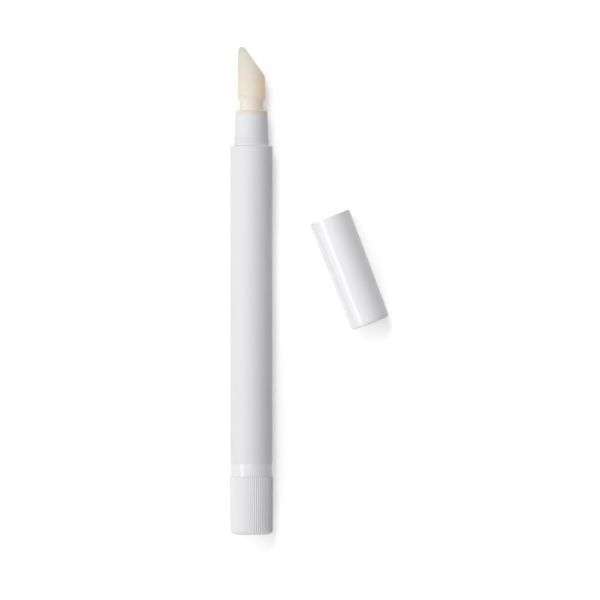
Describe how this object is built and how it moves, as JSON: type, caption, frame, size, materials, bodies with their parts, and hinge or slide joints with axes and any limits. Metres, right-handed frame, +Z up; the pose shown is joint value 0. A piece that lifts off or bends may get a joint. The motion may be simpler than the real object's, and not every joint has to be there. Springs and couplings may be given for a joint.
{
  "type": "cuticle scrub pen",
  "caption": "Slim white twist pen with a ribbed turning knob, a tapered nose and a slanted cream silicone tip, lying beside its glossy cap.",
  "frame": {"origin": "centre of the bounding box at its bottom, on the surface that the pen and its cap lie on", "axes": "+Y along the pen towards its tip, +X towards the cap, +Z up"},
  "size_m": [0.0428, 0.1317, 0.0116],
  "materials": {
    "satin_white": "satin",
    "gloss_white": "high gloss",
    "cream_silicone": "translucent, matte",
    "natural_plastic": "natural, slightly translucent",
    "white_acetal": "moulded",
    "soft_plastic": "soft, waxy",
    "black_rubber": "matte",
    "spring_steel": "drawn wire"
  },
  "bodies": {
    "barrel": {"barrel": "satin_white", "collar_ring": "gloss_white", "drive_housing": "white_acetal", "feed_nut": "white_acetal", "neck_fitting": "satin_white", "neck_o_ring": "black_rubber", "nose_shell": "satin_white", "tip_carrier": "natural_plastic", "feed_tube": "natural_plastic", "slant_tip": "cream_silicone"},
    "knob": {"knob_shell": "satin_white", "knob_insert": "white_acetal", "drive_tube": "white_acetal", "click_crown": "white_acetal", "click_spring": "spring_steel"},
    "rod": {"push_rod": "natural_plastic"},
    "piston": {"piston": "soft_plastic", "piston_seat": "white_acetal"},
    "cap": {"cap_shell": "gloss_white", "cap_liner": "natural_plastic"}
  },
  "joints": [
    {"name": "knob_turn", "type": "hinge", "parent": "barrel", "child": "knob", "pos_m": [-0.01562, -0.05807, 0.0058], "axis": [0, 1, 0], "range_deg": [0, 6840]},
    {"name": "rod_feed", "type": "slide", "parent": "knob", "child": "rod", "axis": [0, 1, 0], "range_m": [0, 0.038]},
    {"name": "piston_feed", "type": "slide", "parent": "barrel", "child": "piston", "axis": [0, 1, 0], "range_m": [0, 0.038]},
    {"name": "cap_pull", "type": "slide", "parent": "barrel", "child": "cap", "axis": [0.3592, -0.9333, 0], "range_m": [0, 0.031]}
  ],
  "couplings": [
    {"joint": "knob_turn", "follows": "piston_feed", "rad_per_m": 3141.6},
    {"joint": "rod_feed", "follows": "piston_feed", "ratio": 1}
  ]
}
